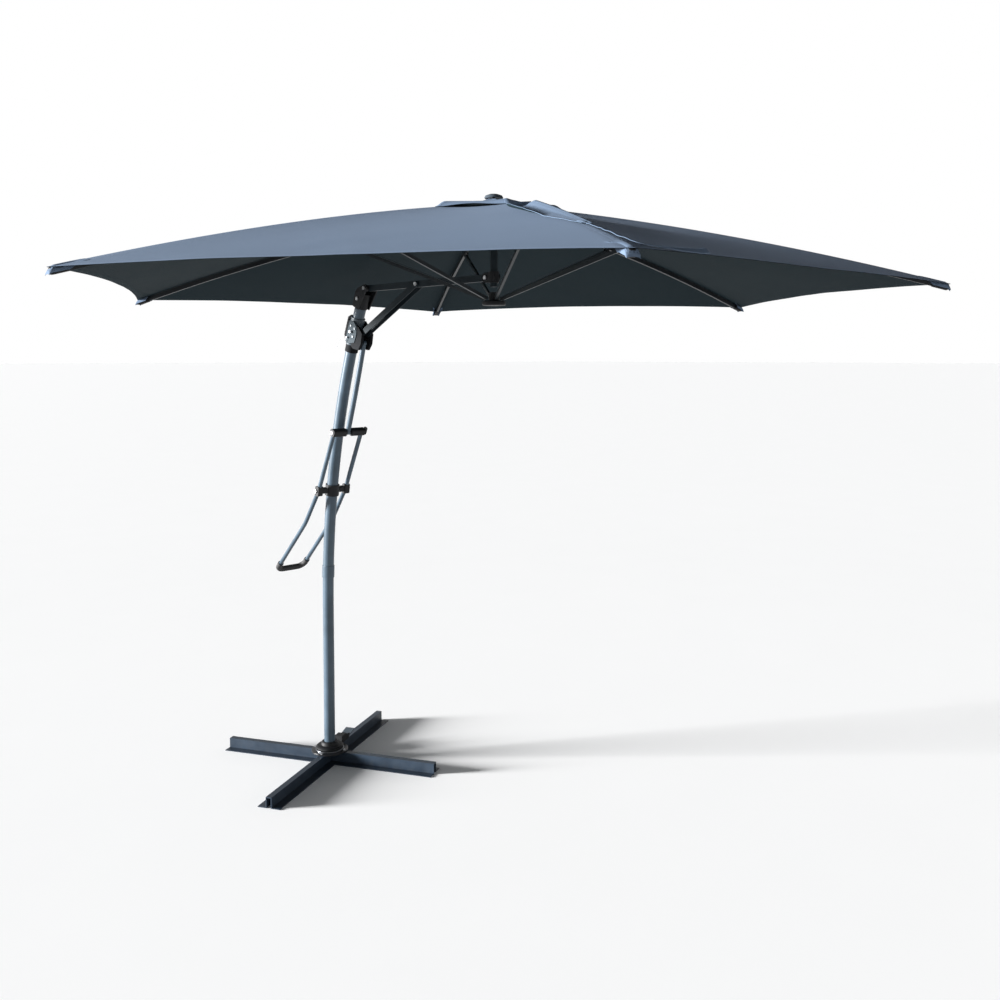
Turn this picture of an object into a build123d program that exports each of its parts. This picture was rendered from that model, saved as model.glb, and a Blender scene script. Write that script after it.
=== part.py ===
from build123d import *
from math import asin, atan2, cos, degrees, hypot, radians, sin, sqrt, tan
import os

os.makedirs("parts", exist_ok=True)

# Cantilever parasol, millimetres.  +Z up, +X along the arm from the mast to the canopy.
# The origin is on the floor under the swivel axis of the mast.

# cross base of folded hat-section bars
bar_high, bar_top, bar_foot, bar_wall = 45, 26, 100, 3
long_half, cross_half = 510, 505
long_turn, cross_turn = 120, 30

# mast: round tube, upright to bend_z, then bent towards the canopy to radius bend_r
mast_r, mast_wall = 24, 2
mast_low, bend_z, bend_r = 72, 700, 3200
coupling_z = 851
mast_end = 25.1

# swinging arm, strut and the pivots in the mechanism plane y = 0
arm_z, arm_pivot_x, strut_pivot_x, hub_pivot_x = 2078, 342, 677, 1087
arm_wide, arm_high = 20, 25
slider_turn, strut_ahead = 22.34, 66.8
rod_ahead, rod_up, rod_r = 76, -36, 11

# lever handle
fulcrum = (42, 1217)
crank = (170, 1476)
handle_y, handle_tube_r = 68, 9.25

# canopy: six ribs round the hub axis
hub_x = 1118
rim_r, rim_z, rim_sag = 1500, 2024, 45
pivot_r, crown_z, runner_z = 38, 2318, 2004
rib_wide, rib_high, rib_bow = 10, 16, 28
tip_r, tip_z = 1492, 2012
joint_r, joint_drop = 590, 16
stretch_wide, stretch_high = 9, 12
rib_turns = [30, 90, 150, 210, 270, 330]
fabric_t, vent_r, vent_gap = 1.5, 262, 14


def on_bend(turn, ahead=0, up=0):
    """Point in the mechanism plane, from the mast's axis at a turn round the bend's centre."""
    a = radians(turn)
    x = bend_r - (bend_r - ahead) * cos(a) + up * sin(a)
    z = bend_z + (bend_r - ahead) * sin(a) + up * cos(a)
    return x, z


def bend_plane(turn, up=0):
    """Plane square to the mast at a turn round the bend's centre."""
    x, z = on_bend(turn, 0, up)
    a = radians(turn)
    return Plane(origin=(x, 0, z), x_dir=(0, 1, 0), z_dir=(sin(a), 0, cos(a)))


def side_plane(turn, y=0):
    """Plane beside the mast: local x points ahead of the mast, local y up along it."""
    x, z = on_bend(turn)
    a = radians(turn)
    return Plane(origin=(x, y, z), x_dir=(cos(a), 0, -sin(a)), z_dir=(0, -1, 0))


def radial_plane(turn, shift=0):
    """Upright plane through the hub axis: local x is the radius, local y is the height."""
    a = radians(turn)
    return Plane(
        origin=(hub_x - shift * sin(a), shift * cos(a), 0),
        x_dir=(cos(a), sin(a), 0),
        z_dir=(sin(a), -cos(a), 0),
    )


def bar_plane(turn, start):
    """Plane square to a base bar, local x across the bar, local y up."""
    a = radians(turn)
    return Plane(
        origin=(start * cos(a), start * sin(a), 0),
        x_dir=(-sin(a), cos(a), 0),
        z_dir=(cos(a), sin(a), 0),
    )


def rib_z(r):
    """Height of a rib's centre line over its radius: a straight run plus a slight bow."""
    k = (r - pivot_r) / (tip_r - pivot_r)
    return crown_z + (tip_z - crown_z) * k + rib_bow * (1 - (2 * k - 1) ** 2)


def fabric_z(r):
    return rib_z(r) + rib_high / 2 + 4


bend_start = degrees(asin((coupling_z - bend_z) / bend_r))
web, foot, inner = bar_top / 2, bar_foot / 2, bar_top / 2 - bar_wall

# ---------------------------------------------------------------- cross base
# Long bar, one piece from end to end: an open hat section standing on its two flanges.
hat = [(-foot, 0), (-foot, bar_wall), (-web, bar_wall), (-web, bar_high), (web, bar_high), (web, bar_wall),
       (foot, bar_wall), (foot, 0), (inner, 0), (inner, bar_high - bar_wall), (-inner, bar_high - bar_wall),
       (-inner, 0)]
with BuildPart() as base_bar_long:
    with BuildSketch(bar_plane(long_turn, -long_half)):
        with BuildLine():
            Polyline(*hat, close=True)
        make_face()
    extrude(amount=2 * long_half)
base_bar_long.part.label = "base_bar_long"
export_step(base_bar_long.part, "parts/base_bar_long.step")

# Two half bars butt against the long bar's webs.  Their flanges stop at the long bar's flanges.
stub = [(-web, bar_wall), (-web, bar_high), (web, bar_high), (web, bar_wall), (inner, bar_wall),
        (inner, bar_high - bar_wall), (-inner, bar_high - bar_wall), (-inner, bar_wall)]
for name, turn in [("base_bar_right", cross_turn), ("base_bar_left", cross_turn + 180)]:
    with BuildPart() as half_bar:
        with BuildSketch(bar_plane(turn, foot)):
            with BuildLine():
                Polyline(*hat, close=True)
            make_face()
        extrude(amount=cross_half - foot)
        with BuildSketch(bar_plane(turn, web)):
            with BuildLine():
                Polyline(*stub, close=True)
            make_face()
        extrude(amount=foot - web)
    half_bar.part.label = name
    export_step(half_bar.part, f"parts/{name}.step")

# Tie plate welded between the long bar's webs, flush with the floor.
with BuildPart() as tie_plate:
    with BuildSketch(Plane.XY):
        Rectangle(140, 2 * inner, rotation=long_turn)
    extrude(amount=bar_wall)
tie_plate.part.label = "tie_plate"
export_step(tie_plate.part, "parts/tie_plate.step")

# Seat: a pressed disc on the four bars with a spigot that the mast turns on.
with BuildPart() as seat_disc:
    with BuildSketch(Plane.XY.offset(bar_high)):
        Circle(80)
    extrude(amount=6)
    fillet(seat_disc.edges().filter_by(GeomType.CIRCLE).group_by(Axis.Z)[-1], 2)
    with BuildSketch(Plane.XY.offset(bar_high + 6)):
        Circle(mast_r - mast_wall - 0.1)
        Circle(mast_r - mast_wall - 2.6, mode=Mode.SUBTRACT)
    extrude(amount=220)
seat_disc.part.label = "seat_disc"
export_step(seat_disc.part, "parts/seat_disc.step")

with BuildPart() as bearing_ring:
    with BuildSketch(Plane.XY.offset(bar_high + 6)):
        Circle(62)
        Circle(30, mode=Mode.SUBTRACT)
    extrude(amount=5)
    fillet(bearing_ring.edges().filter_by(GeomType.CIRCLE).group_by(SortBy.RADIUS)[-1], 1.6)
bearing_ring.part.label = "bearing_ring"
export_step(bearing_ring.part, "parts/bearing_ring.step")

# Four hex bolts through the disc into the bars.
with BuildPart() as seat_bolts:
    with BuildSketch(Plane.XY.offset(bar_high + 6)):
        with PolarLocations(71, 4, start_angle=cross_turn):
            RegularPolygon(6, 6)
    extrude(amount=4)
seat_bolts.part.label = "seat_bolts"
export_step(seat_bolts.part, "parts/seat_bolts.step")

# Swivel lock: a housing on the long bar behind the disc, with a foot pedal on a pin.
lock_a = radians(long_turn)
lock_side = Plane(origin=(0, 0, 0), x_dir=(cos(lock_a), sin(lock_a), 0), z_dir=(sin(lock_a), -cos(lock_a), 0))
with BuildPart() as lock_housing:
    with BuildSketch(lock_side):
        with BuildLine():
            Polyline((80.5, bar_high), (80.5, 78), (118, 78), (146, 66), (146, bar_high), close=True)
        make_face()
    extrude(amount=18, both=True)
    with BuildSketch(lock_side):
        with Locations((151, 60)):
            Circle(7)
        with Locations((147, 56)):
            Rectangle(8, 15)
    extrude(amount=18, both=True)
    with BuildSketch(lock_side):
        with Locations((153.2, 60)):
            Rectangle(14.3, 40)
    extrude(amount=13.5, both=True, mode=Mode.SUBTRACT)
    with BuildSketch(lock_side):
        with Locations((151, 60)):
            Circle(2.5)
    extrude(amount=18, both=True)
lock_housing.part.label = "lock_housing"
export_step(lock_housing.part, "parts/lock_housing.step")

with BuildPart() as lock_pedal:
    with BuildSketch(lock_side):
        with Locations((151, 60)):
            Circle(4.6)
        with BuildLine():
            Polyline((152, 63.6), (198, 74), (199, 69.5), (155.2, 58), close=True)
        make_face()
        with Locations((151, 60)):
            Circle(2.56, mode=Mode.SUBTRACT)
    extrude(amount=13, both=True)
    with BuildSketch(lock_side):
        with BuildLine():
            Polyline((160, 65.4), (198, 74), (199, 69.5), (161, 60.4), close=True)
        make_face()
    extrude(amount=21, both=True)
lock_pedal.part.label = "lock_pedal"
export_step(lock_pedal.part, "parts/lock_pedal.step")

# ---------------------------------------------------------------- mast
# Seat collar that turns with the mast: a wide lip, a step and a gland round the tube.
with BuildPart() as seat_collar:
    with BuildSketch(Plane.XZ):
        with BuildLine():
            Polyline((mast_r, 58), (58, 58), (60, 60), (60, 66), (55, 70), (38, 72), (36, 84), (33, 87),
                     (mast_r, 87), close=True)
        make_face()
    revolve(axis=Axis.Z)
seat_collar.part.label = "seat_collar"
export_step(seat_collar.part, "parts/seat_collar.step")

# Lower tube: upright, with the start of the bend under the coupling sleeve.
with BuildPart() as mast_lower:
    with BuildLine():
        Line((0, 0, mast_low), (0, 0, bend_z))
        x1, z1 = on_bend(bend_start / 2)
        x2, z2 = on_bend(bend_start)
        ThreePointArc((0, 0, bend_z), (x1, 0, z1), (x2, 0, z2))
    with BuildSketch(Plane.XY.offset(mast_low)):
        Circle(mast_r)
        Circle(mast_r - mast_wall, mode=Mode.SUBTRACT)
    sweep()
mast_lower.part.label = "mast_lower"
export_step(mast_lower.part, "parts/mast_lower.step")


def tube_on_bend(start, stop, outer_r, inner_r):
    """Round tube or sleeve that follows the mast's bend."""
    with BuildPart(mode=Mode.PRIVATE) as tube:
        with BuildLine():
            ends = [on_bend(t) for t in (start, (start + stop) / 2, stop)]
            ThreePointArc(*[(x, 0, z) for x, z in ends])
        with BuildSketch(bend_plane(start)):
            Circle(outer_r)
            Circle(inner_r, mode=Mode.SUBTRACT)
        sweep()
    return tube.part


mast_upper = tube_on_bend(bend_start, mast_end, mast_r, mast_r - mast_wall)
mast_upper.label = "mast_upper"
export_step(mast_upper, "parts/mast_upper.step")

with BuildPart() as mast_sleeve:
    with BuildSketch(bend_plane(bend_start, -27)):
        Circle(mast_r + 2.6)
    extrude(amount=54)
    fillet(mast_sleeve.edges().filter_by(GeomType.CIRCLE), 1.2)
    add(mast_lower.part, mode=Mode.SUBTRACT)
    add(mast_upper, mode=Mode.SUBTRACT)
    with BuildSketch(bend_plane(bend_start, -30)):
        Circle(mast_r - 0.5)
    extrude(amount=60, mode=Mode.SUBTRACT)
mast_sleeve.part.label = "mast_sleeve"
export_step(mast_sleeve.part, "parts/mast_sleeve.step")

# Mast head: a cap round the tube's top and two cheeks that carry the arm's pivot.
end_x, end_z = on_bend(mast_end)
end_a = radians(mast_end)
arm_ahead = (arm_pivot_x - end_x) * cos(end_a) - (arm_z - end_z) * sin(end_a)
arm_up = (arm_pivot_x - end_x) * sin(end_a) + (arm_z - end_z) * cos(end_a)
with BuildPart() as mast_head:
    with BuildSketch(bend_plane(mast_end, -62)):
        Circle(mast_r + 4.5)
    extrude(amount=66)
    add(tube_on_bend(bend_start, mast_end, mast_r, 0.5), mode=Mode.SUBTRACT)
    for side in (-1, 1):
        with BuildSketch(side_plane(mast_end, side * 26.5)):
            with BuildLine():
                Polyline((-22, -62), (24, -62), (arm_ahead + 17, arm_up - 8), (arm_ahead + 15, arm_up + 12),
                         (arm_ahead + 2, arm_up + 18), (-14, 20), (-24, 2), close=True)
            make_face()
        extrude(amount=2.2, both=True)
mast_head.part.label = "mast_head"
export_step(mast_head.part, "parts/mast_head.step")

# Arm pivot pin through the cheeks, and the dome-headed bolts of the mast head.
with BuildPart() as head_bolts:
    with BuildSketch(side_plane(mast_end)):
        with Locations((arm_ahead, arm_up)):
            Circle(5)
    extrude(amount=24.25, both=True)
    for side in (-1, 1):
        with BuildSketch(side_plane(mast_end, side * 30.7)):
            with Locations((arm_ahead, arm_up), (0, -22)):
                Circle(7)
        extrude(amount=2, both=True)
head_bolts.part.label = "head_bolts"
export_step(head_bolts.part, "parts/head_bolts.step")

# Fulcrum clamp round the mast, with an arm to each side that ends in the lever's pivot pin.
ful_turn = degrees(asin((fulcrum[1] - bend_z) / bend_r))
with BuildPart() as fulcrum_clamp:
    with BuildSketch(bend_plane(ful_turn, -24)):
        Circle(mast_r + 6)
    extrude(amount=48)
    with BuildSketch(bend_plane(ful_turn, -24)):
        Circle(mast_r + 0.3)
    extrude(amount=48, mode=Mode.SUBTRACT)
    for side in (-1, 1):
        with BuildSketch(side_plane(ful_turn, side * 42)):
            RectangleRounded(26, 24, 5)
        extrude(amount=13.5, both=True)
fulcrum_clamp.part.label = "fulcrum_clamp"
export_step(fulcrum_clamp.part, "parts/fulcrum_clamp.step")

with BuildPart() as fulcrum_pins:
    for side in (-1, 1):
        with BuildSketch(side_plane(ful_turn, side * 70.5)):
            Circle(4.5)
        extrude(amount=15, both=True)
        with BuildSketch(side_plane(ful_turn, side * 84.8)):
            Circle(7.5)
        extrude(amount=1.6, both=True)
fulcrum_pins.part.label = "fulcrum_pins"
export_step(fulcrum_pins.part, "parts/fulcrum_pins.step")

# ---------------------------------------------------------------- lever handle
# One bent tube: up each side of the mast and round the grip in a U.
grip_end = (-330, 815)
knee = (-72, 1062)
cx, cz = crank[0] - 7, crank[1] - 14
with BuildPart() as handle_tube:
    with BuildLine():
        FilletPolyline(
            (cx, -handle_y, cz), (fulcrum[0], -handle_y, fulcrum[1]), (knee[0], -handle_y, knee[1]),
            (grip_end[0], -handle_y, grip_end[1]), (grip_end[0], handle_y, grip_end[1]),
            (knee[0], handle_y, knee[1]), (fulcrum[0], handle_y, fulcrum[1]), (cx, handle_y, cz),
            radius=[250, 300, 32, 32, 300, 250],
        )
    rise = atan2(cz - fulcrum[1], cx - fulcrum[0])
    with BuildSketch(Plane(origin=(cx, -handle_y, cz), x_dir=(0, 1, 0), z_dir=(-cos(rise), 0, -sin(rise)))):
        Circle(handle_tube_r)
    sweep()
    with BuildSketch(side_plane(ful_turn)):
        Circle(15)
    extrude(amount=100, both=True, mode=Mode.SUBTRACT)
handle_tube.part.label = "handle_tube"
export_step(handle_tube.part, "parts/handle_tube.step")

# Foam grip over the bottom of the U.
fall = atan2(grip_end[1] - knee[1], grip_end[0] - knee[0])
back = 52
gx, gz = grip_end[0] - back * cos(fall), grip_end[1] - back * sin(fall)
with BuildPart() as handle_grip:
    with BuildLine():
        FilletPolyline((gx, -handle_y, gz), (grip_end[0], -handle_y, grip_end[1]),
                       (grip_end[0], handle_y, grip_end[1]), (gx, handle_y, gz), radius=[32, 32])
    with BuildSketch(Plane(origin=(gx, -handle_y, gz), x_dir=(0, 1, 0), z_dir=(cos(fall), 0, sin(fall)))):
        Circle(13)
        Circle(handle_tube_r, mode=Mode.SUBTRACT)
    sweep()
handle_grip.part.label = "handle_grip"
export_step(handle_grip.part, "parts/handle_grip.step")

# Pivot lugs: a moulded block on each leg of the handle, bored for the fulcrum pin.
with BuildPart() as handle_lugs:
    for side in (-1, 1):
        with BuildSketch(side_plane(ful_turn, side * handle_y)):
            with Locations((2, 0)):
                RectangleRounded(27, 44, 8)
            Circle(4.58, mode=Mode.SUBTRACT)
        extrude(amount=12, both=True)
    add(handle_tube.part, mode=Mode.SUBTRACT)
handle_lugs.part.label = "handle_lugs"
export_step(handle_lugs.part, "parts/handle_lugs.step")

# Crank blocks: one on each leg's top, reaching in to the push rod, with the lock knob outside.
crank_side = Plane(origin=(crank[0], 0, crank[1]), x_dir=(cos(rise), 0, sin(rise)), z_dir=(0, -1, 0))
with BuildPart() as crank_blocks:
    for side in (-1, 1):
        with BuildSketch(crank_side.offset(side * 45.4)):
            RectangleRounded(30, 32, 9)
        extrude(amount=33, both=True)
    with BuildSketch(crank_side.offset(-82)):
        with Locations((6, -6)):
            RectangleRounded(34, 18, 6)
    extrude(amount=3.5, both=True)
    add(handle_tube.part, mode=Mode.SUBTRACT)
crank_blocks.part.label = "crank_blocks"
export_step(crank_blocks.part, "parts/crank_blocks.step")

with BuildPart() as crank_bolts:
    with BuildSketch(crank_side.offset(80)):
        Circle(7.5)
    extrude(amount=1.6, both=True)
    with BuildSketch(crank_side.offset(-87.1)):
        Circle(6)
    extrude(amount=1.6, both=True)
crank_bolts.part.label = "crank_bolts"
export_step(crank_bolts.part, "parts/crank_bolts.step")

# ---------------------------------------------------------------- slider on the mast
slide_plane = side_plane(slider_turn)
slider_sleeve = tube_on_bend(slider_turn - 1.25, slider_turn + 0.85, mast_r + 5, mast_r + 0.5)
slider_sleeve.label = "slider_sleeve"
export_step(slider_sleeve, "parts/slider_sleeve.step")

slider_skirt = tube_on_bend(slider_turn - 1.85, slider_turn - 1.25, mast_r + 3.4, mast_r + 0.5)
slider_skirt.label = "slider_skirt"
export_step(slider_skirt, "parts/slider_skirt.step")

# Side plates, pressed from sheet and bolted through the sleeve.
with BuildPart() as slider_plates:
    for side in (-1, 1):
        with BuildSketch(slide_plane.offset(side * 30.9)):
            with BuildLine():
                Polyline((-12, -58), (6, -66), (52, -44), (56, -8), (44, 24), (14, 38), (-12, 30), close=True)
            make_face()
        extrude(amount=1.5, both=True)
    fillet(slider_plates.edges().filter_by(Axis.Y), 5)
slider_plates.part.label = "slider_plates"
export_step(slider_plates.part, "parts/slider_plates.step")

with BuildPart() as slider_bolts:
    for side in (-1, 1):
        with BuildSketch(slide_plane.offset(side * 34)):
            with Locations((8, 14), (38, 12), (4, -14), (36, -24)):
                Circle(4.6)
        extrude(amount=1.6, both=True)
slider_bolts.part.label = "slider_bolts"
export_step(slider_bolts.part, "parts/slider_bolts.step")

# Fork cheeks ahead of the sleeve: they hold the strut's foot and the top of the push rod.
with BuildPart() as slider_fork:
    for side in (-1, 1):
        with BuildSketch(slide_plane.offset(side * 23.7)):
            with BuildLine():
                Polyline((29.3, 26), (29.3, -66), (48, -72), (86, -64), (96, -34), (88, 8), (58, 24), close=True)
            make_face()
        extrude(amount=5.5, both=True)
slider_fork.part.label = "slider_fork"
export_step(slider_fork.part, "parts/slider_fork.step")

# Hand grip behind the sleeve: a moulded loop, open for the fingers, with ribs across its back.
with BuildPart() as slider_grip:
    with BuildSketch(slide_plane):
        with BuildLine():
            Polyline((-29.3, 44), (-40, 46), (-58, 30), (-60, -48), (-44, -68), (-29.3, -66), close=True)
        make_face()
    extrude(amount=11, both=True)
    with BuildSketch(slide_plane):
        with Locations((-38.6, -10)):
            RectangleRounded(13, 84, 5)
    extrude(amount=12, both=True, mode=Mode.SUBTRACT)
    with BuildSketch(slide_plane):
        with GridLocations(0, 14, 1, 6):
            with Locations((-60.5, -9)):
                Rectangle(5, 5)
    extrude(amount=12, both=True, mode=Mode.SUBTRACT)
slider_grip.part.label = "slider_grip"
export_step(slider_grip.part, "parts/slider_grip.step")

# Lock pin in the near side of the sleeve, with its pull ring.
pin_plane = slide_plane.offset(32.4)
with BuildPart() as lock_pin:
    with BuildSketch(pin_plane):
        with Locations((20, -8)):
            Circle(3.2)
    extrude(amount=12)
    with BuildSketch(pin_plane.offset(4)):
        with Locations((20, -8)):
            Circle(5.4)
    extrude(amount=5)

# Wire lanyard of the lock pin: from the plate, looping back round the sleeve, its end hanging free.
lanyard_r = 1.2
route = [(2, -44), (-1, -57), (-10, -67), (-23, -71), (-36, -68), (-46, -70), (-52, -81), (-53, -94), (-50, -106)]
points = [slide_plane.from_local_coords((a, b, 39.5)) for a, b in route]

# The wire's crimped eye, on a rivet through the near plate, in one node with the pin.
eye_plane = Plane(origin=points[0], z_dir=points[0] - points[1])
with BuildPart(mode=Mode.PRIVATE) as lanyard_eye:
    with BuildSketch(eye_plane):
        Circle(2.3)
    extrude(amount=9)
    with BuildSketch(pin_plane):
        with Locations((3.3, -38.4)):
            Circle(3.4)
    extrude(amount=9.6)
pin_and_eye = Compound(children=[lock_pin.part.solid(), lanyard_eye.part.solid()])
pin_and_eye.label = "lock_pin"
export_step(pin_and_eye, "parts/lock_pin.step")
radii = []
for p, q, r in zip(route, route[1:], route[2:]):
    turn = atan2(r[1] - q[1], r[0] - q[0]) - atan2(q[1] - p[1], q[0] - p[0])
    turn = abs(atan2(sin(turn), cos(turn)))
    run = min(hypot(q[0] - p[0], q[1] - p[1]), hypot(r[0] - q[0], r[1] - q[1]))
    radii.append(0.45 * run / tan(turn / 2))
print("lanyard radii", [round(v, 1) for v in radii])
with BuildPart() as lanyard:
    with BuildLine() as lanyard_path:
        FilletPolyline(*points, radius=radii)
    with BuildSketch(Plane(origin=lanyard_path.line @ 0, z_dir=lanyard_path.line % 0)):
        Circle(lanyard_r)
    sweep()
print("lanyard length", round(lanyard_path.wires()[0].length, 1))
lanyard.part.label = "lanyard"
export_step(lanyard.part, "parts/lanyard.step")

# ---------------------------------------------------------------- push rod, strut and arm
rod_top = on_bend(slider_turn, rod_ahead, rod_up)
with BuildPart() as push_rod:
    mid = ((rod_top[0] + crank[0]) / 2 + 3.5, (rod_top[1] + crank[1]) / 2 - 1)
    with BuildLine() as rod_line:
        ThreePointArc((crank[0], 0, crank[1]), (mid[0], 0, mid[1]), (rod_top[0], 0, rod_top[1]))
    with BuildSketch(Plane(origin=rod_line.line @ 0, x_dir=(0, 1, 0), z_dir=rod_line.line % 0)):
        Circle(rod_r)
    sweep()
    for x, z in (crank, rod_top):
        with BuildSketch(Plane.XZ):
            with Locations((x, z)):
                Circle(rod_r)
        extrude(amount=6.5, both=True)
push_rod.part.label = "push_rod"
export_step(push_rod.part, "parts/push_rod.step")

strut_foot = on_bend(slider_turn, strut_ahead, 0)
strut_head = (strut_pivot_x, arm_z)
strut_a = atan2(strut_head[1] - strut_foot[1], strut_head[0] - strut_foot[0])
strut_len = hypot(strut_head[0] - strut_foot[0], strut_head[1] - strut_foot[1])
strut_side = Plane(origin=(strut_foot[0], 0, strut_foot[1]), x_dir=(cos(strut_a), 0, sin(strut_a)),
                   z_dir=(0, -1, 0))
# Strut: two flat bars that straddle the arm, joined by a web along their middle.
with BuildPart() as strut:
    for side in (-1, 1):
        with BuildSketch(strut_side.offset(side * 14.9)):
            with Locations((strut_len / 2, 0)):
                SlotCenterToCenter(strut_len, 26)
        extrude(amount=1.5, both=True)
    with BuildSketch(strut_side):
        with Locations((strut_len / 2 + 15, 11.5)):
            Rectangle(strut_len - 230, 3)
    extrude(amount=14, both=True)
    with BuildSketch(strut_side):
        with Locations((strut_len, 0)):
            Circle(5.08)
    extrude(amount=20, both=True, mode=Mode.SUBTRACT)
strut.part.label = "strut"
export_step(strut.part, "parts/strut.step")

# Arm: rectangular tube with rounded ends on its two pivots.
with BuildPart() as arm:
    with BuildSketch(Plane.XZ):
        with Locations(((arm_pivot_x + hub_pivot_x) / 2, arm_z)):
            SlotCenterToCenter(hub_pivot_x - arm_pivot_x, arm_high)
    extrude(amount=arm_wide / 2, both=True)
    with BuildSketch(Plane.XZ):
        with Locations(((arm_pivot_x + hub_pivot_x) / 2, arm_z)):
            Rectangle(hub_pivot_x - arm_pivot_x - 60, arm_high - 3.6)
    extrude(amount=arm_wide / 2 - 1.8, both=True, mode=Mode.SUBTRACT)
    with BuildSketch(Plane.XZ):
        with Locations((arm_pivot_x, arm_z), (hub_pivot_x, arm_z)):
            Circle(5.08)
    extrude(amount=20, both=True, mode=Mode.SUBTRACT)
arm.part.label = "arm"
export_step(arm.part, "parts/arm.step")

# Black root bushes beside the arm's first pivot, and the strut's bolt through the arm.
with BuildPart() as arm_bushes:
    for side in (-1, 1):
        with BuildSketch(Plane.XZ.offset(side * (arm_wide / 2 + 7))):
            with Locations((arm_pivot_x, arm_z)):
                Circle(13)
                Circle(5.08, mode=Mode.SUBTRACT)
        extrude(amount=6.9, both=True)
arm_bushes.part.label = "arm_bushes"
export_step(arm_bushes.part, "parts/arm_bushes.step")

with BuildPart() as strut_bolt:
    for side in (-1, 1):
        with BuildSketch(Plane.XZ.offset(side * (arm_wide / 2 + 3.3))):
            with Locations(strut_head):
                Circle(5)
        extrude(amount=3.25, both=True)
        with BuildSketch(Plane.XZ.offset(side * 18.5)):
            with Locations(strut_head):
                Circle(7.5)
        extrude(amount=1.9, both=True)
strut_bolt.part.label = "strut_bolt"
export_step(strut_bolt.part, "parts/strut_bolt.step")

# ---------------------------------------------------------------- hub
# Post between the arm's end and the crown.
with BuildPart() as hub_post:
    with BuildSketch(Plane.XY.offset(arm_z - 34)):
        with Locations((hub_x, 0)):
            Circle(13)
    extrude(amount=crown_z - 12 - arm_z + 34)
hub_post.part.label = "hub_post"
export_step(hub_post.part, "parts/hub_post.step")

# Clevis that straddles the arm's end, moulded round the post.
with BuildPart() as hub_clevis:
    with BuildSketch(Plane.XY.offset(arm_z - 20)):
        with Locations((hub_x, 0)):
            Circle(19)
    extrude(amount=40)
    for side in (-1, 1):
        with BuildSketch(Plane.XZ.offset(side * 12.6)):
            with Locations(((hub_pivot_x + hub_x) / 2, arm_z)):
                SlotCenterToCenter(hub_x - hub_pivot_x, 36)
        extrude(amount=2.2, both=True)
    with BuildSketch(Plane.XZ):
        with Locations((hub_pivot_x, arm_z)):
            Circle(14)
    extrude(amount=10.4, both=True, mode=Mode.SUBTRACT)
    with BuildSketch(Plane.XY.offset(arm_z - 30)):
        with Locations((hub_pivot_x, 0)):
            Rectangle(28, 20.8)
    extrude(amount=60, mode=Mode.SUBTRACT)
    with BuildSketch(Plane.XY.offset(arm_z - 40)):
        with Locations((hub_x, 0)):
            Circle(13.02)
    extrude(amount=80, mode=Mode.SUBTRACT)
hub_clevis.part.label = "hub_clevis"
export_step(hub_clevis.part, "parts/hub_clevis.step")

with BuildPart() as hub_bolt:
    with BuildSketch(Plane.XZ):
        with Locations((hub_pivot_x, arm_z)):
            Circle(5)
    extrude(amount=10.35, both=True)
    for side in (-1, 1):
        with BuildSketch(Plane.XZ.offset(side * 16.8)):
            with Locations((hub_pivot_x, arm_z)):
                Circle(7.5)
        extrude(amount=1.9, both=True)
hub_bolt.part.label = "hub_bolt"
export_step(hub_bolt.part, "parts/hub_bolt.step")

# Crown: a core with a pair of lugs for each rib.
with BuildPart() as crown:
    with BuildSketch(Plane.XY.offset(crown_z - 12)):
        with Locations((hub_x, 0)):
            Circle(22)
    extrude(amount=22)
    for turn in rib_turns:
        for side in (-1, 1):
            with BuildSketch(radial_plane(turn, side * 6.8)):
                with Locations(((18 + pivot_r) / 2, crown_z)):
                    SlotCenterToCenter(pivot_r - 18, 13)
            extrude(amount=1.3, both=True)
    with BuildSketch(Plane.XY.offset(crown_z + 9)):
        with Locations((hub_x, 0)):
            Circle(5)
    extrude(amount=2358.8 - crown_z - 9)
crown.part.label = "crown"
export_step(crown.part, "parts/crown.step")

with BuildPart() as crown_pins:
    for turn in rib_turns:
        with BuildSketch(radial_plane(turn)):
            with Locations((pivot_r, crown_z)):
                Circle(2.5)
        extrude(amount=5.45, both=True)
crown_pins.part.label = "crown_pins"
export_step(crown_pins.part, "parts/crown_pins.step")

# Cap screwed down over the fabric on the crown's stud.
with BuildPart() as top_cap:
    with BuildSketch(Plane.XZ):
        with BuildLine():
            Polyline((hub_x, 2360.2), (hub_x + 32, 2354), (hub_x + 33.5, 2357), (hub_x + 30, 2364),
                     (hub_x + 16, 2369), (hub_x, 2371), close=True)
        make_face()
    revolve(axis=Axis(origin=(hub_x, 0, 0), direction=(0, 0, 1)))
top_cap.part.label = "top_cap"
export_step(top_cap.part, "parts/top_cap.step")

# ---------------------------------------------------------------- runner
with BuildPart() as runner:
    with BuildSketch(Plane.XY.offset(runner_z - 26)):
        with Locations((hub_x, 0)):
            Circle(42)
    extrude(amount=17)
    fillet(runner.edges().filter_by(GeomType.CIRCLE), 5)
    with BuildSketch(Plane.XY.offset(runner_z - 9)):
        with Locations((hub_x, 0)):
            Circle(19)
    extrude(amount=30)
runner.part.label = "runner"
export_step(runner.part, "parts/runner.step")

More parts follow.
